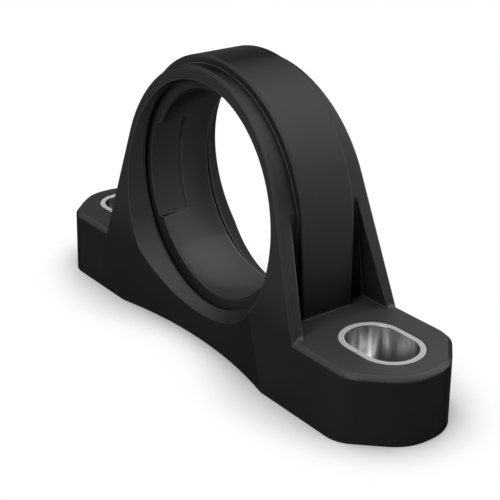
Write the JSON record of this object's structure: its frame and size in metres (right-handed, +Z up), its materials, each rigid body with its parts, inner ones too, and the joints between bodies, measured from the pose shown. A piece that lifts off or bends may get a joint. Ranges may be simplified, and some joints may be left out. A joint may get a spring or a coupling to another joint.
{
  "type": "plummer block bearing housing",
  "caption": "Moulded plummer block housing: arched ring with a spherical bearing seat and filling slots, open-sided legs, and chamfered feet with rolled oblong bolt bushes.",
  "frame": {"origin": "middle of the flat underside, straight below the bore", "axes": "+X along the base through both bolt slots, +Y along the bore's axis towards the rear, +Z up; the filling slots open towards -Y, the front"},
  "size_m": [0.158, 0.039, 0.0821],
  "materials": {
    "composite": "fine moulded black, slightly satin on the rounded edges",
    "steel": "rolled strip, drawn along its height"
  },
  "bodies": {
    "root": {"housing": "composite", "left_bush": "steel", "right_bush": "steel"}
  },
  "joints": []
}
